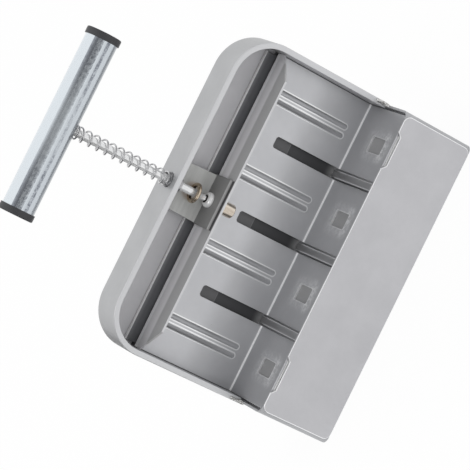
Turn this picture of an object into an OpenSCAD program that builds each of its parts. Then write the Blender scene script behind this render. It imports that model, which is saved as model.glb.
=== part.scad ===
// Hand soil blocker: a sheet-metal mould with four cells, and a sprung plunger with a T-handle.
// Millimetres. X runs along the row of cells, Y from front to back, Z upwards from the mould's lower rim.

/* [Mould] */
// Length of the mould outside
mould_l = 225; // [222:1:232]
// Depth of the mould outside, front to back
mould_d = 56; // [54:1:66]
// Height of the mould's walls
mould_h = 58; // [50:1:60]
// Thickness of the mould's sheet
mould_t = 1.5; // [1:0.1:2.5]
// Outer radius of the mould's upright bends
mould_r = 5; // [3:0.5:8]
// How much the distance between cells exceeds a quarter of the mould's inner length
pitch_extra = 0.3; // [0:0.1:1]
// Distance from the mould's side to the front plate's edge
plate_in = 2.5; // [1:0.1:4]
// Corner radius of the front plate
plate_r = 5; // [2:0.5:8]
// How far the front plate stands out of the mould's bends
plate_out = 0.7; // [0.3:0.1:1]
// Width of a folded divider
divider_w = 6; // [4:0.5:6.6]
// Thickness of a divider's sheet
divider_t = 1.2; // [0.8:0.1:1.6]
// Inner radius of a divider's two folds
divider_r = 0.6; // [0.3:0.1:0.8]
// Length of a notch in the front wall
notch_l = 27; // [10:1:36]
// Depth of a notch in the front wall
notch_h = 3.2; // [2:0.1:6]
// Sideways run of a notch's sloping ends
notch_slope = 3; // [1:0.5:5]

/* [Frame] */
// How far a leg stands out past the mould's side
leg_out = 1.2; // [0.5:0.1:2]
// Height of the frame's top above the mould's lower rim
frame_h = 176.4; // [172:0.2:190]
// Width of the frame's flat bar
frame_w = 26; // [24:0.5:27]
// Thickness of the frame's flat bar
frame_t = 4; // [3:0.1:4.2]
// Outer radius of the frame's bends
frame_r = 30; // [12:1:34]
// Thickness of the back panel
panel_t = 1.5; // [1:0.1:1.8]
// Size of the welds at the frame's feet
weld_leg = 4; // [2:0.5:5]

/* [Pusher] */
// Thickness of the pusher's sheet
pusher_t = 1.5; // [1:0.1:1.6]
// Depth of the base plate's top below the mould's rim at rest
base_drop = 1; // [0:0.5:4]
// Distance from the frame's top down to the flange's top at rest
flange_drop = 36.6; // [35.4:0.2:46]
// Depth of the top flange, front to back
flange_d = 27.5; // [24:0.5:32]
// Length of a flange chamfer along the row
chamfer_x = 17; // [6:1:24]
// Depth of a flange chamfer
chamfer_y = 17; // [6:1:20]
// Inner radius of the pusher's folds
fold_r = 1.5; // [0.5:0.1:2]
// Gap on each side of a divider in its slot
slot_gap = 1.1; // [0.8:0.1:2]
// Height of the slots in the web above the base plate
slot_h = 55; // [54:0.5:58]
// Corner radius at a slot's top
slot_r = 2; // [1:0.1:3]
// Width of a window in the base plate
window_w = 11.2; // [8:0.1:16]
// Depth of a window, front to back
window_d = 17; // [10:0.5:24]
// Distance from the base plate's front edge to a window
window_in = 9.8; // [6:0.1:14]
// Corner radius of a window
window_r = 1.2; // [0.5:0.1:3]
// Radius of the beads pressed into the web
bead_r = 2; // [1:0.1:2.4]
// How far a bead stands out of the web
bead_out = 1.1; // [0.5:0.1:1.4]
// Distance between the two beads of a pair
bead_gap = 7; // [5:0.1:8]
// Height of a bead's lower end above the base plate
bead_up = 9; // [6:0.5:16]

/* [Pads and pins] */
// Gap between a press pad and a divider
pad_gap = 2.4; // [1.5:0.1:6]
// Depth of a press pad, front to back
pad_d = 46; // [38:0.5:47]
// Thickness of a press pad
pad_t = 5.5; // [3:0.5:8]
// Radius of a seed pin at its root
pin_r = 4; // [2:0.5:6]
// Radius of a seed pin's tip
pin_tip_r = 2.5; // [1:0.5:3.5]
// Length of a seed pin under its pad
pin_l = 9; // [5:0.5:14]

/* [Stiffener and bracket] */
// Thickness of the dark bar behind the web
bar_t = 2.6; // [1.5:0.1:2.8]
// Height of the dark bar
bar_h = 20; // [12:1:24]
// How far the bar stands above the flange
bar_up = 7.3; // [4:0.1:9]
// Distance from the web's end to the dark bar's end
bar_in = 1.7; // [0.5:0.1:10]
// Gap between the dark bar and the back panel
bar_gap = 0.4; // [0.2:0.1:1]
// Thickness of the stop bracket
bracket_t = 1.8; // [1.2:0.1:2]
// Width of the bracket's foot
foot_w = 36.5; // [28:0.5:44]
// Depth of the bracket's foot
foot_d = 21.7; // [16:0.1:23]
// Width of the bracket's upright leg at the foot
leg_w = 35.2; // [24:0.2:36]
// Width of the bracket's upright leg at the top
leg_top_w = 33.4; // [20:0.2:36]
// Distance from the web's back face forwards to the bracket's leg
leg_in = 2.2; // [1.6:0.1:4]

/* [Rod and its fittings] */
// Diameter of the plunger rod
rod_d = 5.6; // [5:0.1:6]
// Diameter of the rod's thinner lower end
thread_d = 4; // [3:0.1:4.8]
// Distance from the frame's back edge forwards to the rod's axis
rod_in = 14.5; // [14.4:0.1:15.4]
// Outer diameter of the guide bush
bush_d = 10.4; // [9:0.1:10.8]
// Depth of the guide bush below the frame
bush_h = 5; // [2:0.5:8]
// Height of the guide bush above the frame
bush_up = 0.8; // [0.5:0.1:1.5]
// Outer diameter of the collar on the bracket
collar_d = 14.6; // [12.4:0.2:15.4]
// Inner diameter of the collar
collar_hole_d = 8.9; // [7:0.1:10]
// Thickness of the collar
collar_t = 2.2; // [1.5:0.1:4]
// Height of the collar's top above the flange
collar_up = 15.8; // [10:0.1:20]
// Diameter of the dome nut
dome_d = 10.8; // [9:0.2:12]
// Height of the dome nut
dome_h = 5; // [3:0.1:5.2]
// Diameter of the sleeve nut under the flange
sleeve_d = 9.8; // [8:0.1:12]
// Length of the sleeve nut
sleeve_l = 15.8; // [8:0.1:20]
// Distance from the sleeve nut's lower end up to the rod's
rod_short = 2; // [0.5:0.1:6]

/* [Handle and spring] */
// Outer diameter of the handle's tube
tube_d = 22.3; // [18:0.1:28]
// Wall thickness of the handle's tube
tube_t = 1.2; // [0.8:0.1:2]
// Length of the handle's tube
tube_l = 121; // [90:1:150]
// Length of the spring at rest, between the bush and the tube
spring_l = 76.45; // [66:0.05:90]
// Diameter of an end cap
cap_d = 24.2; // [22.4:0.1:30]
// Length of an end cap outside the tube
cap_l = 4.8; // [3:0.1:10]
// Length of an end cap's plug inside the tube
plug_l = 8; // [4:0.5:12]
// Length of the anchor block inside the tube
anchor_l = 18; // [10:1:30]
// How far the rod reaches above the handle's axis
rod_grip = 6; // [2:0.5:7]
// Outer diameter of the spring
spring_d = 10.2; // [9:0.1:12]
// Diameter of the spring's wire
wire_d = 1.2; // [0.8:0.1:1.6]
// Number of open turns of the spring
spring_turns = 11; // [6:1:14]
// Number of closed turns at each end of the spring
end_turns = 1.25; // [1:0.25:2]
// Gap between the closed turns
closed_gap = 0.2; // [0.1:0.05:0.4]

/* [Clearances] */
// Radial clearance of the rod in its bush
run_gap = 0.08; // [0.03:0.01:0.1]
// Radial clearance round the rod in the pieces that ride on it
fit_gap = 0.05; // [0.02:0.01:0.1]
// Gap between the base plate and the front plate
edge_gap = 0.5; // [0.3:0.1:1]
// Gap between the pusher's end and the frame's leg
end_gap = 0.5; // [0.3:0.1:1]
// Gap between the bracket's top and the frame at rest
stop_gap = 0.1; // [0.05:0.05:0.3]
// Gap between the plug or anchor block and the tube's wall
tube_gap = 0.05; // [0.02:0.01:0.2]

/* [Hidden] */
// Overshoot of a cut past the face that it opens
over = 1;
// Facets of a full circle, and of a small rounded edge
round_fn = 96;
small_fn = 48;
// Sides of the spring's wire and steps in one of its turns
wire_sides = 8;
turn_steps = 24;

cells = 4;
front_y = -mould_d / 2;
back_y = mould_d / 2;
cell_pitch = (mould_l - 2 * mould_t) / cells + pitch_extra;
frame_l = mould_l + 2 * leg_out;
frame_front_y = back_y - frame_w;
frame_under_z = frame_h - frame_t;
leg_in_x = frame_l / 2 - frame_t;
panel_y = back_y - panel_t;
web_back_y = panel_y - bar_gap - bar_t;
web_y = web_back_y - pusher_t;
pusher_l = 2 * (leg_in_x - end_gap);
flange_front_y = web_back_y - flange_d;
base_front_y = front_y + mould_t + edge_gap;
base_z = mould_h - base_drop;
base_under_z = base_z - pusher_t;
flange_z = frame_h - flange_drop;
flange_under_z = flange_z - pusher_t;
bend_r = fold_r + pusher_t;
slot_w = divider_w + 2 * slot_gap;
pad_l = cell_pitch - divider_w - 2 * pad_gap;
pad_y = base_front_y + pad_d / 2;
pad_under_z = base_under_z - pad_t;
foot_top_z = flange_z + bracket_t;
leg_back_y = web_back_y - leg_in;
leg_front_y = leg_back_y - bracket_t;
foot_front_y = leg_back_y - foot_d;
rod_y = back_y - rod_in;
rod_r = rod_d / 2;
hole_r = rod_r + fit_gap;
thread_r = thread_d / 2;
thread_hole_r = thread_r + fit_gap;
collar_top_z = flange_z + collar_up;
collar_under_z = collar_top_z - collar_t;
rod_bottom_z = flange_under_z - sleeve_l + rod_short;
spring_low_z = frame_h + bush_up;
spring_mid_r = (spring_d - wire_d) / 2;
tube_under_z = spring_low_z + spring_l;
tube_in_r = tube_d / 2 - tube_t;
handle_z = tube_under_z + tube_d / 2;

// Centres of the cells and of the dividers along X
function cell_x(i) = (i - (cells - 1) / 2) * cell_pitch;
function divider_x(i) = (i - cells / 2) * cell_pitch;

// Flat rectangle with round corners, centred
module round_rect(l, d, r) {
    square([l - 2 * r, d], center = true);
    square([l, d - 2 * r], center = true);
    for (sx = [-1, 1], sy = [-1, 1])
        translate([sx * (l / 2 - r), sy * (d / 2 - r)]) circle(r, $fn = small_fn);
}

// Arch outline: a rectangle from low to high whose two upper corners are round
module arch(half, low, high, r) {
    translate([-half, low]) square([2 * half, high - r - low]);
    translate([-half + r, low]) square([2 * (half - r), high - low]);
    for (s = [-1, 1]) translate([s * (half - r), high - r]) circle(r, $fn = round_fn);
}

// Stands an outline drawn in X and Z upright and gives it a depth from y0 back to y1
module upright(y0, y1) {
    translate([0, y1, 0]) rotate([90, 0, 0]) linear_extrude(y1 - y0) children();
}

// Gives an outline drawn in Y and Z a length along X, centred
module along_x(l) {
    translate([-l / 2, 0, 0]) rotate([90, 0, 90]) linear_extrude(l) children();
}

// Quarter of a ring: the section of a fold, in the quadrant given by the signs
module fold_section(y, z, sy, sz) {
    translate([y, z]) intersection() {
        difference() {
            circle(bend_r, $fn = small_fn);
            circle(fold_r, $fn = small_fn);
        }
        translate([sy > 0 ? 0 : -bend_r, sz > 0 ? 0 : -bend_r]) square(bend_r);
    }
}

// Upright ring or tube on the rod's axis
module rod_ring(outer_r, inner_r, low, high) {
    translate([0, rod_y, low]) difference() {
        cylinder(r = outer_r, h = high - low, $fn = round_fn);
        translate([0, 0, -over]) cylinder(r = inner_r, h = high - low + 2 * over, $fn = round_fn);
    }
}

// ---- Mould and frame ----

// The front plate with its round corners, without its notches
module plate_blank(y0, y1) {
    upright(y0, y1) translate([0, mould_h / 2]) round_rect(mould_l - 2 * plate_in, mould_h, plate_r);
}

module notch(x) {
    half = notch_l / 2;
    upright(front_y - over, front_y + mould_t + over)
        translate([x, 0]) polygon([[-half, mould_h + over], [-half, mould_h],
            [-half + notch_slope, mould_h - notch_h], [half - notch_slope, mould_h - notch_h],
            [half, mould_h], [half, mould_h + over]]);
}

// Sides and back bent from one strip, whose front bends reach round to the front plate
module mould_shell() {
    color("silver") difference() {
        linear_extrude(mould_h) difference() {
            translate([0, plate_out / 2]) round_rect(mould_l, mould_d - plate_out, mould_r);
            round_rect(mould_l - 2 * mould_t, mould_d - 2 * mould_t, mould_r - mould_t);
        }
        plate_blank(front_y - over, front_y + mould_t + over);
    }
}

module front_plate() {
    color("gainsboro") difference() {
        plate_blank(front_y, front_y + mould_t);
        for (i = [0, cells - 1]) notch(cell_x(i));
    }
}

// Folded divider: two walls joined by a flat strip along the top
module divider(i) {
    half = divider_w / 2;
    color("gray") translate([divider_x(i), 0, 0])
        upright(front_y + mould_t, back_y - mould_t) difference() {
            arch(half, 0, mould_h, divider_r + divider_t);
            arch(half - divider_t, -over, mould_h - divider_t, divider_r);
        }
}

module divider_left() { divider(1); }
module divider_middle() { divider(2); }
module divider_right() { divider(3); }

module frame_bar() {
    color("lightgray") difference() {
        upright(frame_front_y, back_y) difference() {
            arch(frame_l / 2, mould_h, frame_h, frame_r);
            arch(leg_in_x, mould_h - over, frame_under_z, frame_r - frame_t);
        }
        translate([0, rod_y, frame_under_z - over])
            cylinder(r = bush_d / 2 + fit_gap, h = frame_t + 2 * over, $fn = round_fn);
    }
}

// Sheet between the legs, in line with the mould's back wall
module back_panel() {
    color("darkgray") upright(panel_y, back_y)
        arch(leg_in_x, mould_h, frame_under_z, frame_r - frame_t);
}

// Fillets at each foot: one under the leg's outer edge, one in front of the leg on the wall's top
module frame_welds() {
    ledge = (frame_l - mould_l) / 2;
    color("gainsboro") for (s = [0, 1]) mirror([s, 0, 0]) {
        upright(frame_front_y, back_y - mould_r) polygon([[mould_l / 2, mould_h],
            [mould_l / 2 + ledge, mould_h], [mould_l / 2, mould_h - weld_leg]]);
        translate([mould_l / 2 - mould_t, frame_front_y, mould_h]) rotate([90, 0, 90])
            linear_extrude(mould_t) polygon([[-weld_leg, 0], [0, 0], [0, weld_leg]]);
    }
}

module guide_bush() {
    color("dimgray") rod_ring(bush_d / 2, rod_r + run_gap, frame_under_z - bush_h, frame_h + bush_up);
}

// ---- Pusher ----

// Section of the folded sheet: base plate, upright web and top flange
module pusher_section() {
    translate([base_front_y, base_under_z]) square([web_y - fold_r - base_front_y, pusher_t]);
    fold_section(web_y - fold_r, base_z + fold_r, 1, -1);
    translate([web_y, base_z + fold_r]) square([pusher_t, flange_under_z - fold_r - base_z - fold_r]);
    fold_section(web_y - fold_r, flange_under_z - fold_r, 1, 1);
    translate([flange_front_y, flange_under_z]) square([web_y - fold_r - flange_front_y, pusher_t]);
}

// Slot for a divider, open at the base plate's front and round-cornered at its top in the web
module divider_slot(x) {
    half = slot_w / 2;
    translate([x - half, front_y, base_under_z - over]) cube([slot_w, mould_d, pusher_t + 2 * over]);
    upright(web_y - bend_r - over, web_back_y + over) translate([x, 0])
        arch(half, base_under_z - over, base_z + slot_h, slot_r);
}

module window(x) {
    translate([x, base_front_y + window_in + window_d / 2, base_under_z - over])
        linear_extrude(pusher_t + 2 * over) round_rect(window_w, window_d, window_r);
}

// Corner cut off the flange, from its side edge to its front edge
module flange_chamfer(s) {
    edge = s * pusher_l / 2;
    translate([0, 0, flange_under_z - over]) linear_extrude(pusher_t + 2 * over) polygon([
        [edge - s * chamfer_x, flange_front_y], [edge, flange_front_y + chamfer_y],
        [edge + s * over, flange_front_y + chamfer_y], [edge + s * over, flange_front_y - over],
        [edge - s * chamfer_x, flange_front_y - over]]);
}

// Pressed bead: a round rib with a ball end, standing out of the web's front face
module bead(x) {
    low = base_z + bead_up + bead_r;
    intersection() {
        translate([x, web_y - bead_out + bead_r, low]) union() {
            cylinder(r = bead_r, h = flange_under_z - fold_r - low, $fn = small_fn);
            sphere(r = bead_r, $fn = small_fn);
        }
        translate([x - bead_r - over, web_y - bead_out - over, base_z])
            cube([2 * bead_r + 2 * over, bead_out + over + pusher_t / 2, flange_z - base_z]);
    }
}

module pusher_sheet() {
    color("lightsteelblue") {
        difference() {
            along_x(pusher_l) pusher_section();
            for (i = [1:cells - 1]) divider_slot(divider_x(i));
            for (i = [0:cells - 1]) window(cell_x(i));
            for (s = [-1, 1]) flange_chamfer(s);
            translate([0, rod_y, flange_under_z - over])
                cylinder(r = thread_hole_r, h = pusher_t + 2 * over, $fn = round_fn);
        }
        for (i = [0:cells - 1], s = [-1, 1]) bead(cell_x(i) + s * bead_gap / 2);
    }
}

// Press pad under the base plate, with round upright corners
module press_pad(i) {
    color("slategray") translate([cell_x(i - 1), pad_y, pad_under_z])
        linear_extrude(pad_t) round_rect(pad_l, pad_d, bend_r);
}

module press_pad_1() { press_pad(1); }
module press_pad_2() { press_pad(2); }
module press_pad_3() { press_pad(3); }
module press_pad_4() { press_pad(4); }

module seed_pins() {
    color("dimgray") for (i = [0:cells - 1])
        translate([cell_x(i), pad_y, pad_under_z - pin_l])
            cylinder(r1 = pin_tip_r, r2 = pin_r, h = pin_l, $fn = small_fn);
}

// Dark bar behind the web's upper edge
module stiffener_bar() {
    color("dimgray") translate([-pusher_l / 2 + bar_in, web_back_y, flange_z + bar_up - bar_h])
        cube([pusher_l - 2 * bar_in, bar_t, bar_h]);
}

// Angle bracket: its foot lies on the flange, its leg stops under the frame
module stop_bracket() {
    color("darkkhaki") {
        difference() {
            translate([-foot_w / 2, foot_front_y, flange_z]) cube([foot_w, foot_d, bracket_t]);
            translate([0, rod_y, flange_z - over])
                cylinder(r = thread_hole_r, h = bracket_t + 2 * over, $fn = round_fn);
        }
        upright(leg_front_y, leg_back_y) polygon([[-leg_w / 2, foot_top_z], [leg_w / 2, foot_top_z],
            [leg_top_w / 2, frame_under_z - stop_gap], [-leg_top_w / 2, frame_under_z - stop_gap]]);
    }
}

// ---- Rod and its fittings ----

// Rod with a thinner end from the collar down
module plunger_rod() {
    color("white") {
        translate([0, rod_y, rod_bottom_z])
            cylinder(r = thread_r, h = collar_under_z - rod_bottom_z, $fn = round_fn);
        translate([0, rod_y, collar_under_z])
            cylinder(r = rod_r, h = handle_z + rod_grip - collar_under_z, $fn = round_fn);
    }
}

// Collar round the rod, cut flat where it is joined to the bracket's leg
module rod_collar() {
    color("peru") difference() {
        rod_ring(collar_d / 2, collar_hole_d / 2, collar_under_z, collar_top_z);
        translate([-collar_d, leg_front_y, collar_under_z - over])
            cube([2 * collar_d, collar_d, collar_t + 2 * over]);
    }
}

// Dome nut on the bracket's foot: a ball's cap on a short skirt
module dome_nut() {
    half = dome_d / 2;
    ball_r = (half * half + dome_h * dome_h) / (2 * dome_h);
    color("whitesmoke") difference() {
        intersection() {
            translate([0, rod_y, foot_top_z + dome_h - ball_r]) sphere(r = ball_r, $fn = round_fn);
            translate([0, rod_y, foot_top_z]) cylinder(r = half, h = dome_h + over, $fn = round_fn);
        }
        translate([0, rod_y, foot_top_z - over])
            cylinder(r = thread_hole_r, h = dome_h + 2 * over, $fn = round_fn);
    }
}

module sleeve_nut() {
    color("tan") rod_ring(sleeve_d / 2, thread_hole_r, flange_under_z - sleeve_l, flange_under_z);
}

// Height of the wire's centre after so many turns: closed ends, open middle
function wire_z(turn) =
    let (low = spring_low_z + wire_d / 2,
         high = tube_under_z - wire_d / 2,
         step = wire_d + closed_gap,
         closed = end_turns * step,
         pitch = (high - low - 2 * closed) / spring_turns)
    turn < end_turns ? low + turn * step
    : turn > end_turns + spring_turns ? high - (2 * end_turns + spring_turns - turn) * step
    : low + closed + (turn - end_turns) * pitch;

// One ring of points round the wire's section
function wire_ring(turn) = [for (k = [0:wire_sides - 1])
    let (a = 360 * turn,
         b = 360 * k / wire_sides,
         r = spring_mid_r + wire_d / 2 * cos(b))
    [r * cos(a), rod_y + r * sin(a), wire_z(turn) + wire_d / 2 * sin(b)]];

module return_spring() {
    steps = (spring_turns + 2 * end_turns) * turn_steps;
    points = [for (s = [0:steps]) each wire_ring(s / turn_steps)];
    sides = [for (s = [0:steps - 1], k = [0:wire_sides - 1])
        let (n = (k + 1) % wire_sides, a = s * wire_sides, b = a + wire_sides)
        [a + k, a + n, b + n, b + k]];
    low_end = [[for (k = [wire_sides - 1:-1:0]) k]];
    high_end = [[for (k = [0:wire_sides - 1]) steps * wire_sides + k]];
    color("silver") polyhedron(points, concat(sides, low_end, high_end));
}

// ---- Handle ----

// Tube along X on the handle's axis
module handle_ring(outer_r, inner_r, x0, x1) {
    translate([x0, rod_y, handle_z]) rotate([0, 90, 0]) difference() {
        cylinder(r = outer_r, h = x1 - x0, $fn = round_fn);
        if (inner_r > 0)
            translate([0, 0, -over]) cylinder(r = inner_r, h = x1 - x0 + 2 * over, $fn = round_fn);
    }
}

module handle_tube() {
    color("aliceblue") difference() {
        handle_ring(tube_d / 2, tube_in_r, -tube_l / 2, tube_l / 2);
        translate([0, rod_y, tube_under_z - over])
            cylinder(r = hole_r, h = tube_d / 2, $fn = round_fn);
    }
}

// Round block inside the tube that holds the rod's upper end
module handle_anchor() {
    color("gray") difference() {
        handle_ring(tube_in_r - tube_gap, 0, -anchor_l / 2, anchor_l / 2);
        translate([0, rod_y, tube_under_z])
            cylinder(r = hole_r, h = handle_z + rod_grip - tube_under_z, $fn = round_fn);
    }
}

module end_cap(s) {
    mirror([s < 0 ? 1 : 0, 0, 0]) color("#3c3c3f") {
        handle_ring(cap_d / 2, 0, tube_l / 2, tube_l / 2 + cap_l);
        handle_ring(tube_in_r - tube_gap, 0, tube_l / 2 - plug_l, tube_l / 2);
    }
}

module end_cap_left() { end_cap(-1); }
module end_cap_right() { end_cap(1); }

mould_shell();
front_plate();
divider_left();
divider_middle();
divider_right();
frame_bar();
back_panel();
frame_welds();
guide_bush();
pusher_sheet();
press_pad_1();
press_pad_2();
press_pad_3();
press_pad_4();
seed_pins();
stiffener_bar();
stop_bracket();
plunger_rod();
rod_collar();
dome_nut();
sleeve_nut();
return_spring();
handle_tube();
handle_anchor();
end_cap_left();
end_cap_right();
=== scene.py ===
"""Looks of a hand soil blocker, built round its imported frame.

The frame gives every solid at its real size, in metres. This script rounds the edges of the sheet metal,
makes the small turned and coiled pieces again in finer detail, gives each piece its finish, and sets the
studio and the camera.
"""

from __future__ import annotations

import logging
import math
from dataclasses import dataclass
from enum import Enum
from typing import Any, Sequence

import bmesh
import bpy
from mathutils import Euler, Matrix, Vector


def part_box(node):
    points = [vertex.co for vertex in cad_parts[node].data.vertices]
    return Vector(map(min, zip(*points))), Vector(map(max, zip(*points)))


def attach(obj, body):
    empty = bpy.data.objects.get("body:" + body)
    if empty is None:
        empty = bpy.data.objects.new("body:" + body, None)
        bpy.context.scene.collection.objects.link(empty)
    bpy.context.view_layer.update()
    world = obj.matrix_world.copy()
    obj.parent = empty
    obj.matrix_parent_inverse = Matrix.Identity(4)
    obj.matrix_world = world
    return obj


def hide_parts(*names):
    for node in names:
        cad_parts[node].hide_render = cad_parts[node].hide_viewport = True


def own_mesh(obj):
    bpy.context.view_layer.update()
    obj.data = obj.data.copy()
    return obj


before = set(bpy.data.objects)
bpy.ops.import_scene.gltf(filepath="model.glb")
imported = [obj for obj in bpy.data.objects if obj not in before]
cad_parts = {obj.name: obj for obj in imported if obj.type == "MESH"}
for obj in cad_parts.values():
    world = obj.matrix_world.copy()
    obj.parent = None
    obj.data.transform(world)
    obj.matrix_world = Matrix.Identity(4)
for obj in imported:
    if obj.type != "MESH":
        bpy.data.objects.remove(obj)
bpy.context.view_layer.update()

log = logging.getLogger("soil_blocker")

MM = 0.001
FAR = 1.0
TURN = 2 * math.pi
SHEET = 1.5 * MM

# Faces across a rounded edge, and the angles in degrees above which an edge is rounded or shaded sharp.
EDGE_STEPS = 3
EDGE_ANGLE = 32
CREASE_ANGLE = 35

Colour = tuple[float, float, float]
Pair = tuple[float, float]
Value = Any


# ---- Shaders and node trees ----


@dataclass(frozen=True)
class Wire:
    """An output socket that takes part in sums like a number."""

    graph: "Graph"
    socket: bpy.types.NodeSocket

    def _maths(self, operation: str, a: Value, b: Value = 0.0) -> "Wire":
        """Adds a Math node and returns its result."""
        return self.graph.node("ShaderNodeMath", {"operation": operation}, {0: a, 1: b})

    def __add__(self, other: Value) -> "Wire":
        """Sum of the two values."""
        return self._maths("ADD", self, other)

    __radd__ = __add__

    def __sub__(self, other: Value) -> "Wire":
        """This value less the other."""
        return self._maths("SUBTRACT", self, other)

    def __rsub__(self, other: Value) -> "Wire":
        """The other value less this one."""
        return self._maths("SUBTRACT", other, self)

    def __mul__(self, other: Value) -> "Wire":
        """Product of the two values."""
        return self._maths("MULTIPLY", self, other)

    __rmul__ = __mul__

    def __truediv__(self, other: Value) -> "Wire":
        """This value divided by the other."""
        return self._maths("DIVIDE", self, other)

    def __rtruediv__(self, other: Value) -> "Wire":
        """The other value divided by this one."""
        return self._maths("DIVIDE", other, self)

    def __neg__(self) -> "Wire":
        """This value with its sign turned."""
        return self * -1

    def __abs__(self) -> "Wire":
        """This value without its sign."""
        return self.at_least(-self)

    def at_least(self, other: Value) -> "Wire":
        """The larger of the two values."""
        return self._maths("MAXIMUM", self, other)

    def at_most(self, other: Value) -> "Wire":
        """The smaller of the two values."""
        return self._maths("MINIMUM", self, other)

    def cosine(self) -> "Wire":
        """Cosine of this angle."""
        return self._maths("COSINE", self)

    def sine(self) -> "Wire":
        """Sine of this angle."""
        return self._maths("SINE", self)

    def fraction(self) -> "Wire":
        """Part of this value past the whole number below it."""
        return self._maths("FRACT", self)

    def length(self, other: Value) -> "Wire":
        """Length of the line whose two legs are this value and the other."""
        return self._maths("SQRT", self * self + other * other)

    def angle_to(self, other: Value) -> "Wire":
        """Angle in degrees whose opposite side is this value and whose near side is the other."""
        return self._maths("DEGREES", self._maths("ARCTAN2", self, other))

    def within(self, low: float, high: float, soft: float) -> "Wire":
        """1 between low and high, 0 outside, with soft edges of that width."""
        return self.step(low - soft, low + soft) * (1 - self.step(high - soft, high + soft))

    def step(self, low: float, high: float) -> "Wire":
        """Smooth step that rises from 0 to 1 as this value goes from low to high."""
        return self.graph.node(
            "ShaderNodeMapRange",
            {"interpolation_type": "SMOOTHSTEP"},
            {"Value": self, "From Min": low, "From Max": high},
        )


class Graph:
    """A node tree of any kind, filled by one method."""

    def __init__(self, tree: bpy.types.NodeTree) -> None:
        """Empties the tree.

        Args:
            tree: The node tree to fill.
        """
        self.tree = tree
        tree.nodes.clear()

    def node(
        self,
        kind: str,
        settings: dict[str, Value] | None = None,
        inputs: dict[int | str, Value] | None = None,
        output: int | str = 0,
    ) -> Wire:
        """Adds a node.

        Args:
            kind: The node's type.
            settings: Its own settings, which are set first.
            inputs: Values or wires for its sockets, by name or number.
            output: The output to return, by name or number.

        Returns:
            That output, or a wire to nothing where the node has no output.
        """
        made = self.tree.nodes.new(kind)
        for key, value in (settings or {}).items():
            setattr(made, key, value)
        for key, value in (inputs or {}).items():
            if isinstance(value, Wire):
                self.tree.links.new(value.socket, made.inputs[key])
            else:
                made.inputs[key].default_value = value
        return Wire(self, made.outputs[output] if len(made.outputs) else None)

    def joined(self, parts: Sequence[Wire]) -> Wire:
        """Joins geometries.

        Args:
            parts: The geometries.

        Returns:
            All of them as one.
        """
        made = self.node("GeometryNodeJoinGeometry")
        for part in parts:
            self.tree.links.new(part.socket, made.socket.node.inputs[0])
        return made

    def glow(self, strength: Value, kind: str = "ShaderNodeEmission") -> Wire:
        """White light of that strength."""
        return self.node(kind, inputs={"Color": (1, 1, 1, 1), "Strength": strength})

    def rays(self) -> list[Wire]:
        """One wire each for camera, glossy and transmission rays: 1 for such a ray, 0 for another."""
        kinds = ("Camera", "Glossy", "Transmission")
        return [self.node("ShaderNodeLightPath", output=f"Is {kind} Ray") for kind in kinds]


class Tree:
    """A Geometry Nodes tree with named sizes and a fixed seed."""

    def __init__(self, name: str, sizes: dict[str, float], seed: int = 0) -> None:
        """Makes the tree and its inputs.

        Args:
            name: The tree's name.
            sizes: Value of each named size.
            seed: Seed of what is random in it.
        """
        self.tree = bpy.data.node_groups.new(name, "GeometryNodeTree")
        self.graph = Graph(self.tree)
        self.values: dict[str, float | int] = {}
        for key, value in {**sizes, "Seed": seed}.items():
            kind = "NodeSocketInt" if isinstance(value, int) else "NodeSocketFloat"
            socket = self.tree.interface.new_socket(key, in_out="INPUT", socket_type=kind)
            self.values[socket.identifier] = value
        self.tree.interface.new_socket("Geometry", in_out="OUTPUT", socket_type="NodeSocketGeometry")
        given = self.tree.nodes.new("NodeGroupInput")
        self.sizes = {key: Wire(self.graph, given.outputs[key]) for key in sizes}
        self.seed = Wire(self.graph, given.outputs["Seed"])

    def grow(self, name: str, geometry: Wire, coat: bpy.types.Material) -> bpy.types.Object:
        """Ends the tree and bakes it into a piece.

        Args:
            name: The piece's name.
            geometry: What the tree makes.
            coat: The piece's material.

        Returns:
            The piece, as plain mesh.
        """
        real = self.graph.node("GeometryNodeRealizeInstances", inputs={"Geometry": geometry})
        done = self.graph.node("GeometryNodeSetMaterial", inputs={"Geometry": real, "Material": coat})
        self.graph.node("NodeGroupOutput", inputs={"Geometry": done})
        piece = new_object(name, bpy.data.meshes.new(name))
        modifier = piece.modifiers.new(name, "NODES")
        modifier.node_group = self.tree
        for identifier, value in self.values.items():
            modifier[identifier] = value
        baked(piece)
        piece.data.shade_smooth()
        return piece


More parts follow.
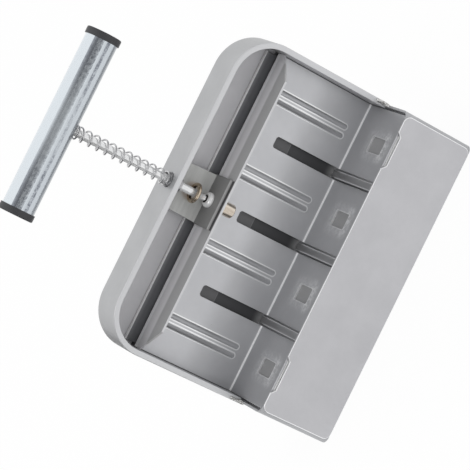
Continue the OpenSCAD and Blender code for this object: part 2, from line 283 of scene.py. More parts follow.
class Shader(Graph):
    """The node tree of one material."""

    def __init__(self, name: str) -> None:
        """Makes the material.

        Args:
            name: The material's name.
        """
        self.material = bpy.data.materials.new(name)
        self.material.use_nodes = True
        super().__init__(self.material.node_tree)

    def place(self, stretch: Sequence[float] = (1, 1, 1)) -> Wire:
        """Object coordinates, each axis multiplied by its stretch."""
        point = self.node("ShaderNodeTexCoord", output="Object")
        return self.node("ShaderNodeMapping", inputs={"Vector": point, "Scale": tuple(stretch)})

    def axis(self, name: str) -> Wire:
        """One of the object coordinates, in metres."""
        point = self.node("ShaderNodeTexCoord", output="Object")
        return self.node("ShaderNodeSeparateXYZ", inputs={0: point}, output=name)

    def noise(self, at: Wire, size: float, detail: float = 3.0, rough: float = 0.5) -> Wire:
        """Noise from 0 to 1.

        Args:
            at: Where it is read.
            size: Size of its features, in metres.
            detail: Number of finer layers.
            rough: Weight of the finer layers.

        Returns:
            The noise's value.
        """
        values = {"Vector": at, "Scale": 1 / size, "Detail": detail, "Roughness": rough}
        return self.node("ShaderNodeTexNoise", inputs=values)

    def distance(self, point: Sequence[float]) -> Wire:
        """Distance from a point on the piece, in metres."""
        at = self.node("ShaderNodeTexCoord", output="Object")
        return self.node(
            "ShaderNodeVectorMath", {"operation": "DISTANCE"}, {0: at, 1: tuple(point)}, "Value"
        )

    def mix(self, factor: Value, first: Value, second: Value) -> Wire:
        """Blend of two colours.

        Args:
            factor: 0 for the first, 1 for the second.
            first: A colour or a wire.
            second: A colour or a wire.

        Returns:
            The blended colour.
        """
        a = first if isinstance(first, Wire) else (*first, 1)
        b = second if isinstance(second, Wire) else (*second, 1)
        return self.node("ShaderNodeMix", {"data_type": "RGBA"}, {0: factor, 6: a, 7: b}, 2)

    def bump(self, height: Wire, depth: float, under: Wire | None = None) -> Wire:
        """Normal of a rough surface.

        Args:
            height: Height from 0 to 1.
            depth: Height of the relief in metres.
            under: Another bump to lie on.

        Returns:
            The normal.
        """
        values: dict[int | str, Value] = {"Height": height, "Distance": depth, "Strength": 1.0}
        if under is not None:
            values["Normal"] = under
        return self.node("ShaderNodeBump", inputs=values)

    def finish(self, **sockets: Value) -> bpy.types.Material:
        """Joins a Principled shader to the output.

        Args:
            **sockets: Its values, with underscores for spaces.

        Returns:
            The finished material.
        """
        values = {name.replace("_", " "): value for name, value in sockets.items()}
        return self.close(self.node("ShaderNodeBsdfPrincipled", inputs=values))

    def close(self, surface: Wire) -> bpy.types.Material:
        """Joins the surface to the output and returns the material."""
        self.node("ShaderNodeOutputMaterial", inputs={"Surface": surface})
        return self.material


# ---- Finishes ----


class Slot(Enum):
    """Material slots of the record."""

    GALVANISED = "galvanised"
    DULL = "dull_steel"
    WELD = "weld"
    DARK = "dark_steel"
    PAD = "pad_steel"
    BRACKET = "bracket_steel"
    BRIGHT = "bright_steel"
    TINTED = "tinted_steel"
    SPRING = "spring_steel"
    TUBE = "zinc_tube"
    CAP = "cap_plastic"


@dataclass(frozen=True)
class Places:
    """Heights, depths and distances that finishes and fittings go by, read from the frame."""

    pitch: float
    cell_y: float
    base_top: float
    flange_top: float
    flange_front: float
    web_front: float
    bar_top: float
    panel_front: float
    foot_front: float
    foot_half: float
    foot_top: float
    frame_front: float
    pad_front: float
    collar: Vector
    rod: Vector
    tube: Vector

    @classmethod
    def read(cls) -> "Places":
        """Reads them from the boxes of the CAD nodes."""
        sheet, foot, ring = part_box("pusher_sheet"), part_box("stop_bracket"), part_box("rod_collar")
        first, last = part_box("press_pad_1"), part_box("press_pad_4")
        rod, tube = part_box("plunger_rod"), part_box("handle_tube")
        return cls(
            pitch=(last[0].x - first[0].x) / 3,
            cell_y=sheet[0].y + 18.3 * MM,
            base_top=sheet[0].z + SHEET,
            flange_top=sheet[1].z,
            flange_front=sheet[1].y - 27.5 * MM,
            web_front=sheet[1].y - SHEET,
            bar_top=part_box("stiffener_bar")[1].z,
            panel_front=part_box("back_panel")[0].y,
            foot_front=foot[0].y,
            foot_half=foot[1].x,
            foot_top=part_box("dome_nut")[0].z,
            frame_front=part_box("frame_bar")[0].y,
            pad_front=first[0].y,
            collar=Vector(((ring[0].x + ring[1].x) / 2, ring[1].y, (ring[0].z + ring[1].z) / 2)),
            rod=Vector(((rod[0].x + rod[1].x) / 2, (rod[0].y + rod[1].y) / 2, rod[0].z)),
            tube=(tube[0] + tube[1]) / 2,
        )


@dataclass(frozen=True, kw_only=True)
class Patch:
    """A stretch of a piece, inside soft limits along some axes, painted in another tone for the light or
    shade there.
    """

    tone: Colour
    share: float = 1.0
    soft: float = 0.3 * MM
    x: Pair | None = None
    y: Pair | None = None
    z: Pair | None = None

    def over(self, s: Shader, colour: Wire) -> Wire:
        """Lays the patch over a colour.

        Args:
            s: The material's node tree.
            colour: The colour under it.

        Returns:
            The colour with the patch.
        """
        factor: Value = self.share
        for name, limits in (("X", self.x), ("Y", self.y), ("Z", self.z)):
            if limits is not None:
                factor = s.axis(name).within(*limits, self.soft) * factor
        return s.mix(factor, colour, self.tone)


@dataclass(frozen=True, kw_only=True)
class SheetFinish:
    """Rolled and galvanised sheet: a satin metal with a faint cloudy tone and a fine grain."""

    name: str
    light: Colour
    dark: Colour
    roughness: float = 0.38
    metallic: float = 0.6
    cloud: float = 0.03
    grain: float = 0.0011
    relief: float = 0.00001
    wear: float = 0.06
    patches: tuple[Patch, ...] = ()

    def material(self) -> bpy.types.Material:
        """Builds the material."""
        s = Shader(self.name)
        at = s.place()
        clouds = s.noise(at, self.cloud, 4, 0.6)
        flecks = s.noise(at, self.grain, 2)
        spangle = s.node("ShaderNodeTexVoronoi", inputs={"Vector": at, "Scale": 1 / (4 * self.grain)})
        tone = clouds.step(0.3, 0.72) * 0.7 + flecks * 0.2 + spangle * 0.15
        rough = self.roughness - self.wear + clouds * self.wear + flecks * self.wear
        grain = s.bump(flecks, self.relief)
        colour, metallic = self.zones(s, s.mix(tone, self.dark, self.light))
        return s.finish(
            Base_Color=colour,
            Metallic=metallic,
            Roughness=rough,
            Normal=s.bump(clouds, self.relief * 4, grain),
        )

    def zones(self, s: Shader, colour: Wire) -> tuple[Wire, Value]:
        """Lays the painted light and shade of the patches over the sheet; without patches it is even.

        Args:
            s: The material's node tree.
            colour: Colour of the plain sheet.

        Returns:
            The colour and the metallic share.
        """
        for patch in self.patches:
            colour = patch.over(s, colour)
        return colour, self.metallic


@dataclass(frozen=True, kw_only=True)
class PusherFinish(SheetFinish):
    """Pusher sheet: a matt flange, a base plate painted darker as shade, beads with painted shade and
    highlights, and a painted highlight on each window's rim with a blotchy pale tone round it.

    The beads' rows give each one's outer side, its place across the cell and its depth of painted shade. The
    web has painted shade low down: that shade fades out between its two heights above the base plate, and
    the rise is a stretch that is darker still.
    """

    at: Places
    bead_half: float = 1.8 * MM
    bead_up: float = 11.0 * MM
    bead_rows: tuple[tuple[int, float, float], ...] = ((-1, -3.1 * MM, 0.7), (1, 3.5 * MM, 0.42))
    window: Pair = (11.2 * MM, 17.0 * MM)
    shade: Pair = (28 * MM, 49 * MM)
    rise: Pair = (28 * MM, 40 * MM)
    pale: Colour = (0.985, 0.99, 1.0)

    def zones(self, s: Shader, colour: Wire) -> tuple[Wire, Value]:
        """Painted shade and highlights on the web, the beads, the base plate, the windows and the flange; the
        flange is made matt behind its front edge.

        Args:
            s: The material's node tree.
            colour: Colour of the plain sheet.

        Returns:
            The colour and the metallic share.
        """
        x, y, z = (s.axis(name) for name in "XYZ")
        floor, top = self.at.base_top, self.at.flange_top
        across = ((x / self.at.pitch).fraction() - 0.5) * self.at.pitch
        flange = z.step(top - 2.2 * MM, top - 1.2 * MM)
        low = 1 - z.step(floor + self.shade[0], floor + self.shade[1])
        base = 1 - z.step(floor + 0.2 * MM, floor + 1.6 * MM)
        web = (1 - flange) * y.step(self.at.web_front - 3.2 * MM, self.at.web_front - 2.2 * MM)
        rise = z.within(floor + self.rise[0], floor + self.rise[1], 7 * MM)
        # Painted shade: the web darker low down and darker still on the rise, and the base plate darker.
        colour = s.mix(low * 0.06 + rise * 0.09 + base * 0.09, colour, (0, 0, 0))
        colour = self.beads(s, across, z, colour, web)
        colour = self.windows(s, across, y, colour, base)
        colour, metallic = super().zones(s, colour)
        inner = flange * y.step(self.at.flange_front + 0.1 * MM, self.at.flange_front + 0.6 * MM)
        return colour, metallic - inner * (metallic - 0.05)

    def beads(self, s: Shader, across: Wire, z: Wire, colour: Wire, where: Wire) -> Wire:
        """Paints shade over each bead, heaviest towards its outer side, and a highlight along the line round
        its foot.

        Args:
            s: The material's node tree.
            across: Distance from the middle of the cell, along the row.
            z: Height.
            colour: Colour of the sheet.
            where: 1 on the web, 0 elsewhere.

        Returns:
            The colour with the beads.
        """
        floor = self.at.base_top
        drop = (z - floor - self.bead_up).at_most(0)
        above = z.step(floor + 2 * MM, floor + 4 * MM) * where
        fade = z.step(floor + 8 * MM, floor + 50 * MM) * 0.72 + 0.28
        for side, middle, depth in self.bead_rows:
            off = across - middle
            reach = off.length(drop)
            inside = (1 - reach.step(self.bead_half - 0.4 * MM, self.bead_half)) * above * fade
            outer = (off * side).step(-1.5 * MM, 0.8 * MM) * 0.8 + 0.2
            # Painted shade over the bead, heaviest on its outer side.
            colour = s.mix(inside * outer * depth, colour, (0, 0, 0))
            line = reach.within(self.bead_half - 0.1 * MM, self.bead_half + 0.85 * MM, 0.2 * MM)
            # Painted highlight along the line round the bead's foot.
            colour = s.mix(line * above * (fade * 0.4 + 0.6), colour, self.pale)
        return colour

    def windows(self, s: Shader, across: Wire, y: Wire, colour: Wire, where: Wire) -> Wire:
        """Paints a highlight on the rim of each window and, more faintly, a blotchy pale tone on the sheet
        round it, mostly in front.

        Args:
            s: The material's node tree.
            across: Distance from the middle of the cell, along the row.
            y: Depth.
            colour: Colour of the sheet.
            where: 1 on the base plate, 0 elsewhere.

        Returns:
            The colour with the painted highlights and the pale tone.
        """
        width, depth = self.window
        beside = (abs(across) - width / 2).at_least(0)
        along = y - self.at.cell_y
        away = beside.length((abs(along) - depth / 2).at_least(0))
        blotch = s.noise(s.place(), 0.003, 5, 0.7).step(0.38, 0.62)
        front = 1 - along.step(-10 * MM, -3 * MM)
        halo = (1 - away.step(1.5 * MM, 9 * MM)) * (blotch * 0.42 + 0.12) * (front * 0.8 + 0.5)
        # Painted highlight on the window's rim, over the blotchy pale tone round it.
        pale = (1 - away.step(0.2 * MM, 1.0 * MM)) * 0.36 + halo
        return s.mix(pale * where, colour, self.pale)


@dataclass(frozen=True, kw_only=True)
class DividerFinish(SheetFinish):
    """Divider: dull along the top, with a painted highlight along both folds."""

    at: Places
    half: float = 2.45 * MM
    # Colour of the painted highlight along the folds.
    fold_glint: Colour = (0.75, 0.755, 0.77)

    def zones(self, s: Shader, colour: Wire) -> tuple[Wire, Value]:
        """Painted highlight along each fold.

        Args:
            s: The material's node tree.
            colour: Colour of the plain sheet.

        Returns:
            The colour and the metallic share.
        """
        off = ((s.axis("X") / self.at.pitch + 0.5).fraction() - 0.5) * self.at.pitch
        # Painted highlight along the top of each fold.
        fold = abs(off).within(self.half - 0.3 * MM, self.half + 0.3 * MM, 0.2 * MM)
        top = s.axis("Z").step(self.at.base_top - 0.4 * MM, self.at.base_top)
        return s.mix(fold * top, colour, self.fold_glint), self.metallic


@dataclass(frozen=True)
class BracketFinish:
    """Bare rolled sheet, smeared across, with a brown tint where the collar was heated; the foot is painted
    dark as a reflection, with a painted highlight along its front edge.
    """

    name: str
    at: Places
    light: Colour = (0.575, 0.58, 0.57)
    dark: Colour = (0.465, 0.47, 0.46)
    # The foot's dark tone is a painted dark reflection, and the edge tone a painted highlight on its front
    # edge.
    foot: Colour = (0.22, 0.22, 0.22)
    edge: Colour = (0.42, 0.42, 0.42)
    tint: Colour = (0.4, 0.27, 0.17)
    near: float = 4.8 * MM
    far: float = 8.0 * MM

    def material(self) -> bpy.types.Material:
        """Builds the material."""
        s = Shader(self.name)
        smear = s.noise(s.place((0.35, 1, 1.6)), 0.006, 4, 0.62)
        flecks = s.noise(s.place(), 0.0009, 2)
        heat = (1 - s.distance(self.at.collar).step(self.near, self.far)) * (smear * 0.7)
        metal = s.mix(smear.step(0.25, 0.75), self.dark, self.light)
        # Painted dark reflection on the foot and painted highlight along its front edge.
        upright = s.axis("Z").step(self.at.foot_top, self.at.foot_top + 0.6 * MM)
        front = 1 - s.axis("Y").step(self.at.foot_front + 0.2 * MM, self.at.foot_front + 0.9 * MM)
        foot = s.mix(front, self.foot, self.edge)
        return s.finish(
            Base_Color=s.mix(upright, foot, s.mix(heat.at_most(0.8), metal, self.tint)),
            Metallic=0.12,
            Roughness=0.42 + smear * 0.14,
            Normal=s.bump(flecks, 0.000012),
        )


@dataclass(frozen=True)
class PlatedFinish:
    """Bright plated or turned metal, with faint rings or lines along one stretch."""

    name: str
    light: Colour
    dark: Colour
    roughness: float = 0.15
    stretch: tuple[float, float, float] = (1, 1, 1)
    size: float = 0.002
    relief: float = 0.000006
    axis: Vector | None = None
    bore: float = 0.0
    shadow_z: float = 0.0
    shadow: Colour = (0.02, 0.018, 0.016)
    metallic: float = 1.0

    def material(self) -> bpy.types.Material:
        """Builds the material."""
        s = Shader(self.name)
        lines = s.noise(s.place(self.stretch), self.size, 4, 0.6)
        spots = s.noise(s.place(), self.size * 0.7, 3)
        colour = s.mix(lines.step(0.3, 0.7) * 0.7 + spots * 0.3, self.dark, self.light)
        if self.axis is not None:
            reach = (s.axis("X") - self.axis.x).length(s.axis("Y") - self.axis.y)
            inside = 1 - reach.step(self.bore, self.bore + 0.2 * MM)
            below = 1 - s.axis("Z").step(self.shadow_z - 0.3 * MM, self.shadow_z + 0.3 * MM)
            colour = s.mix(inside * below, colour, self.shadow)
        return s.finish(
            Base_Color=colour,
            Metallic=self.metallic,
            Roughness=self.roughness * 0.7 + spots * (self.roughness * 0.6),
            Normal=s.bump(lines, self.relief),
        )


@dataclass(frozen=True)
class ZincFinish:
    """Zinc-plated tube: bluish and bright, with painted dark reflections in mottled bands along it, strongest
    at its ends, and a painted grey shade along its lower front.

    Each band has its first and last angle from the top towards the front in degrees, the width of its soft
    edges and the least share of its painted dark tone.
    """

    name: str
    middle: Vector
    light: Colour = (0.73, 0.78, 0.82)
    dark: Colour = (0.2, 0.215, 0.25)
    # Painted grey shade along the tube's lower front.
    lower_shade: Colour = (0.36, 0.38, 0.4)
    bands: tuple[tuple[float, float, float, float], ...] = (
        (38.5, 54, 1.6, 0.72),
        (53, 76.5, 1.6, 0.24),
        (87, 99, 2.5, 0.2),
    )

    def material(self) -> bpy.types.Material:
        """Builds the material."""
        s = Shader(self.name)
        streaks = s.noise(s.place((0.6, 1, 1)), 0.0015, 5, 0.7)
        spots = s.noise(s.place(), 0.0008, 3, 0.6)
        mottle = (streaks * 0.65 + spots * 0.35).step(0.4, 0.62)
        turn = (self.middle.y - s.axis("Y")).angle_to(s.axis("Z") - self.middle.z)
        # The painted dark bands grow stronger towards the tube's ends.
        toward_ends = abs(s.axis("X")).step(4 * MM, 52 * MM) * 0.58 + 0.42
        # Painted shade over the tube's lower front, then painted dark reflections in mottled bands at set
        # angles.
        share = turn.step(76, 82) * 0.27
        for low, high, soft, least in self.bands:
            share = share + turn.within(low, high, soft) * (mottle * (0.95 - least) + least) * toward_ends
        colour = s.mix(share.at_most(0.96), self.light, self.dark)
        return s.finish(
            # Painted grey shade along the lower front.
            Base_Color=s.mix(turn.step(125, 133) * 0.9, colour, self.lower_shade),
            Metallic=1.0,
            Roughness=0.12 + mottle * 0.14,
            Normal=s.bump(spots * 0.5 + streaks * 0.5, 0.00002),
        )


@dataclass(frozen=True)
class WeldFinish:
    """Weld metal: lumpy and part burnt."""

    name: str
    light: Colour = (0.96, 0.96, 0.95)
    dark: Colour = (0.34, 0.33, 0.32)

    def material(self) -> bpy.types.Material:
        """Builds the material."""
        s = Shader(self.name)
        scale = s.noise(s.place(), 0.0018, 5, 0.65)
        return s.finish(
            Base_Color=s.mix(scale.step(0.35, 0.65), self.dark, self.light),
            Metallic=1.0,
            Roughness=0.35 + scale * 0.25,
            Normal=s.bump(scale, 0.00015),
        )


@dataclass(frozen=True)
class PaintFinish:
    """Painted or moulded surface with a fine grain."""

    name: str
    light: Colour
    dark: Colour
    roughness: float = 0.5
    size: float = 0.0008
    relief: float = 0.00003

    def material(self) -> bpy.types.Material:
        """Builds the material."""
        s = Shader(self.name)
        grain = s.noise(s.place(), self.size, 3, 0.6)
        clouds = s.noise(s.place((0.3, 1, 1)), self.size * 14, 3)
        return s.finish(
            Base_Color=s.mix(clouds.step(0.3, 0.7), self.dark, self.light),
            Roughness=self.roughness - 0.08 + grain * 0.16,
            Normal=s.bump(grain, self.relief),
        )


# ---- Meshes ----


def new_object(name: str, mesh: bpy.types.Mesh) -> bpy.types.Object:
    """Links a new object that holds the mesh.

    Args:
        name: The object's name.
        mesh: Its mesh, already in place.

    Returns:
        The object.
    """
    made = bpy.data.objects.new(name, mesh)
    bpy.context.scene.collection.objects.link(made)
    return made


def baked(obj: bpy.types.Object) -> bpy.types.Object:
    """Turns the object's modifiers into plain mesh and removes them.

    Args:
        obj: The object.

    Returns:
        The same object.
    """
    bpy.context.view_layer.update()
    graph = bpy.context.evaluated_depsgraph_get()
    mesh = bpy.data.meshes.new_from_object(obj.evaluated_get(graph))
    obj.modifiers.clear()
    obj.data = mesh
    return obj


def softened(node: str, name: str, width: float, *coats: bpy.types.Material) -> bpy.types.Object:
    """Copies a CAD node, merges its triangles into faces, rounds its edges and gives it its finish.

    Args:
        node: The CAD node.
        name: Name of the new piece.
        width: Radius of the rounded edges in metres.
        *coats: Material of its faces and, where it differs, that of its rounded edges.

    Returns:
        The new piece, as plain mesh.
    """
    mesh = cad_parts[node].data.copy()
    mesh.name = name
    mesh.materials.clear()
    for coat in coats:
        mesh.materials.append(coat)
    if "custom_normal" in mesh.attributes:
        mesh.attributes.remove(mesh.attributes["custom_normal"])
    shape = bmesh.new()
    shape.from_mesh(mesh)
    bmesh.ops.remove_doubles(shape, verts=shape.verts, dist=2e-6)
    bmesh.ops.dissolve_limit(
        shape, angle_limit=math.radians(0.4), verts=shape.verts, edges=shape.edges
    )
    for edge in shape.edges:
        edge.smooth = True
    for face in shape.faces:
        face.material_index = 0
    shape.to_mesh(mesh)
    shape.free()
    mesh.shade_smooth()
    piece = new_object(name, mesh)
    bevel = piece.modifiers.new("edges", "BEVEL")
    bevel.width = width
    bevel.segments = EDGE_STEPS
    bevel.limit_method = "ANGLE"
    bevel.angle_limit = math.radians(EDGE_ANGLE)
    bevel.use_clamp_overlap = True
    bevel.harden_normals = True
    bevel.material = len(coats) - 1
    return baked(piece)


def turned(outline: Sequence[Pair], steps: int = 72, closed: bool = False) -> bmesh.types.BMesh:
    """Turns an outline about the Z axis.

    Args:
        outline: Radius and height of each corner, from the bottom outwards and up.
        steps: Faces round a full turn.
        closed: True for a ring, whose last corner joins its first.

    Returns:
        The solid as a bmesh, at the origin.
    """
    shape = bmesh.new()
    angles = [TURN * k / steps for k in range(steps)]
    rings: list[list[bmesh.types.BMVert]] = []
    for radius, height in outline:
        if radius > 0:
            ring = [(radius * math.cos(a), radius * math.sin(a), height) for a in angles]
        else:
            ring = [(0, 0, height)]
        rings.append([shape.verts.new(corner) for corner in ring])
    pairs = list(zip(rings, rings[1:]))
    if closed:
        pairs.append((rings[-1], rings[0]))
    for low, high in pairs:
        for k in range(steps):
            n = (k + 1) % steps
            corners = [low[k % len(low)], low[n % len(low)], high[n % len(high)], high[k % len(high)]]
            shape.faces.new(list(dict.fromkeys(corners)))
    bmesh.ops.recalc_face_normals(shape, faces=shape.faces)
    return shape


def arc(centre: Pair, radius: float, start: float, end: float, steps: int) -> list[Pair]:
    """Points of an arc.

    Args:
        centre: Its centre.
        radius: Its radius.
        start: First angle in degrees.
        end: Last angle in degrees.
        steps: Number of stretches.

    Returns:
        The points, both ends included.
    """
    angles = [math.radians(start + (end - start) * k / steps) for k in range(steps + 1)]
    return [(centre[0] + radius * math.cos(a), centre[1] + radius * math.sin(a)) for a in angles]


def placed(
    shape: bmesh.types.BMesh, name: str, where: Matrix, coat: bpy.types.Material
) -> bpy.types.Object:
    """Moves a bmesh into place and makes it an object.

    Args:
        shape: The bmesh, which is freed.
        name: The object's name.
        where: Its place.
        coat: Its material.

    Returns:
        The object, at the origin.
    """
    bmesh.ops.transform(shape, matrix=where, verts=shape.verts)
    mesh = bpy.data.meshes.new(name)
    shape.to_mesh(mesh)
    shape.free()
    mesh.shade_smooth()
    mesh.set_sharp_from_angle(angle=math.radians(CREASE_ANGLE))
    mesh.materials.append(coat)
    return new_object(name, mesh)


def settle(piece: bpy.types.Object, slot: Slot, body: str, *nodes: str) -> None:
    """Lets a piece ride on a body, in place of CAD nodes where it stands for any.

    Args:
        piece: The piece.
        slot: The record's slot that its finish belongs to; not used.
        body: The body that carries it.
        *nodes: The CAD nodes that it stands for.
    """
    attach(piece, body)
    if nodes:
        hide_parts(*nodes)
    log.info("%s rides on %s, %d faces", piece.name, body, len(piece.data.polygons))


# ---- Sub-assemblies ----


@dataclass
class Finishes:
    """All the materials of the object."""

    at: Places

    def __post_init__(self) -> None:
        """Builds each material once."""
        at = self.at
        self.sheet = SheetFinish(
            name="galvanised_sheet", light=(0.565, 0.565, 0.585), dark=(0.51, 0.51, 0.53)
        ).material()
        # The mould's wrap is a darker copy of the galvanised sheet: painted shade on its sides and round its
        # bends.
        self.skirt = SheetFinish(
            name="skirt_sheet", light=(0.5, 0.505, 0.52), dark=(0.4, 0.405, 0.42)
        ).material()
        # Near-white rounded edges of the mould and the front plate: a painted highlight.
        self.rim = SheetFinish(
            name="edge_highlight", light=(0.98, 0.985, 0.995), dark=(0.92, 0.925, 0.94), roughness=0.3
        ).material()
        self.strap = SheetFinish(
            name="frame_flat", light=(0.5, 0.505, 0.515), dark=(0.44, 0.445, 0.455), roughness=0.42,
            # The frame's front face is painted lighter than its top: painted light.
            patches=(Patch(tone=(0.64, 0.645, 0.66), y=(-FAR, at.frame_front + 0.5 * MM)),),
        ).material()
        above = (at.flange_top - 1.7 * MM, FAR)
        # Lighter rounded edges of the pusher sheet: a painted highlight.
        self.fold = SheetFinish(
            name="folded_edge", light=(0.74, 0.745, 0.76), dark=(0.66, 0.665, 0.68), roughness=0.3
        ).material()
        self.pusher = PusherFinish(
            name="pusher_sheet", light=(0.6, 0.605, 0.625), dark=(0.535, 0.54, 0.56), roughness=0.3, at=at,
            patches=(
                # Painted light: the flange lighter than the shade under the frame leaves it.
                Patch(tone=(0.68, 0.672, 0.695), soft=0.3 * MM, y=(at.flange_front + 0.4 * MM, FAR), z=above),
                # Painted shade: a darker band along the flange's front.
                Patch(
                    tone=(0.38, 0.38, 0.385), soft=1.4 * MM, z=above,
                    y=(at.flange_front - 2 * MM, at.flange_front + 12 * MM),
                ),
                # Painted light on the flange's rear fold, which lies in shade.
                Patch(tone=(0.97, 0.965, 0.985), soft=1.5 * MM, y=(at.flange_front + 22 * MM, FAR), z=above),
                # Painted highlight on the flange's front edge.
                Patch(tone=(0.62, 0.625, 0.64), y=(-FAR, at.flange_front + 0.3 * MM), z=above),
                # Painted shadow of the bracket's foot on the flange.
                Patch(
                    tone=(0.05, 0.05, 0.052), x=(-at.foot_half, at.foot_half), z=above,
                    y=(at.flange_front + 0.9 * MM, at.foot_front + 1 * MM),
                ),
                # Painted highlight along the crease at the foot of the web.
                Patch(
                    tone=(0.985, 0.99, 1.0), share=0.85, soft=0.2 * MM,
                    y=(at.web_front - 1.2 * MM, at.web_front), z=(-FAR, at.base_top + 0.9 * MM),
                ),
            ),
        ).material()
        self.dull = SheetFinish(
            name="dull_sheet", light=(0.42, 0.425, 0.435), dark=(0.34, 0.345, 0.355), roughness=0.45
        ).material()
        self.divider = DividerFinish(
            name="divider_sheet", light=(0.36, 0.362, 0.37), dark=(0.3, 0.302, 0.31), roughness=0.45, at=at
        ).material()
        # Painted shade on the back panel's front face: dark from the flange down, darker still below the edge
        # height, and lighter again close above the base plate.
        front = (-FAR, at.panel_front + 0.75 * MM)
        edge = at.base_top + 40 * MM
        self.panel = SheetFinish(
            name="panel_sheet", light=(0.62, 0.615, 0.635), dark=(0.55, 0.548, 0.565), metallic=0.2,
            patches=(
                Patch(tone=(0.125, 0.125, 0.13), y=front, z=(edge, at.flange_top)),
                Patch(tone=(0.055, 0.056, 0.06), y=front, z=(-FAR, edge)),
                Patch(tone=(0.5, 0.5, 0.5), soft=5 * MM, y=front, z=(-FAR, at.base_top + 3.5 * MM)),
            ),
        ).material()
        self.pad = SheetFinish(
            name="pad_sheet", light=(0.46, 0.46, 0.465), dark=(0.38, 0.38, 0.385), roughness=0.5,
            # Painted light: the pads' front faces near white, as if lit in the narrow gap behind the notches.
            patches=(Patch(tone=(0.9, 0.9, 0.89), y=(-FAR, at.pad_front + 0.5 * MM)),),
        ).material()
        self.weld = WeldFinish("weld_metal").material()
        # The bar's dark tone is a painted dark reflection; it is painted lighter towards the top, with a
        # painted highlight along its top edge.
        top = at.bar_top
        self.bar = SheetFinish(
            name="dark_bar", light=(0.125, 0.127, 0.135), dark=(0.105, 0.107, 0.115), roughness=0.34,
            metallic=0.3,
            patches=(
                Patch(tone=(0.19, 0.192, 0.2), soft=1.6 * MM, z=(top - 2.4 * MM, FAR)),
                Patch(tone=(0.98, 0.98, 0.985), soft=0.4 * MM, z=(top - 0.4 * MM, FAR)),
            ),
        ).material()
        self.bush = PlatedFinish("bush_steel", (0.5, 0.5, 0.51), (0.3, 0.3, 0.31), 0.3).material()
        self.cap = PaintFinish("cap_plastic", (0.04, 0.04, 0.044), (0.03, 0.03, 0.034), 0.5).material()
        self.bracket = BracketFinish("bracket_sheet", at).material()
        self.rod = PlatedFinish(
            "bright_rod", (0.95, 0.95, 0.95), (0.8, 0.81, 0.82), 0.12, (1, 1, 0.05),
            axis=at.rod, bore=4 * MM, shadow_z=at.foot_top + 4.4 * MM, metallic=0.45,
        ).material()
        self.nut = PlatedFinish(
            "bright_nut", (0.98, 0.98, 0.98), (0.8, 0.81, 0.82), 0.14,
            axis=at.rod, bore=2.85 * MM, shadow_z=FAR, metallic=0.35,
        ).material()
        self.collar = PlatedFinish(
            "tinted_collar", (0.72, 0.62, 0.5), (0.34, 0.26, 0.18), 0.16,
            axis=at.rod, bore=4.6 * MM, shadow_z=FAR, shadow=(0.05, 0.03, 0.018),
        ).material()
        self.sleeve = PlatedFinish(
            "tinted_sleeve", (0.76, 0.69, 0.6), (0.46, 0.39, 0.32), 0.14, (1, 1, 0.1)
        ).material()
        self.spring = PlatedFinish("spring_wire", (0.7, 0.7, 0.71), (0.46, 0.46, 0.47), 0.14).material()
        self.tube = ZincFinish("zinc_tube", at.tube).material()


@dataclass
class Group:
    """Pieces that ride on one body."""

    finishes: Finishes
    body: str = "plunger"

    def copies(self, rows: Sequence[tuple[Any, ...]]) -> None:
        """Copies CAD nodes with rounded edges.

        Args:
            rows: CAD node, name, radius of the edges, slot and materials of each piece.
        """
        for node, name, width, slot, *coats in rows:
            settle(softened(node, name, width, *coats), slot, self.body, node)


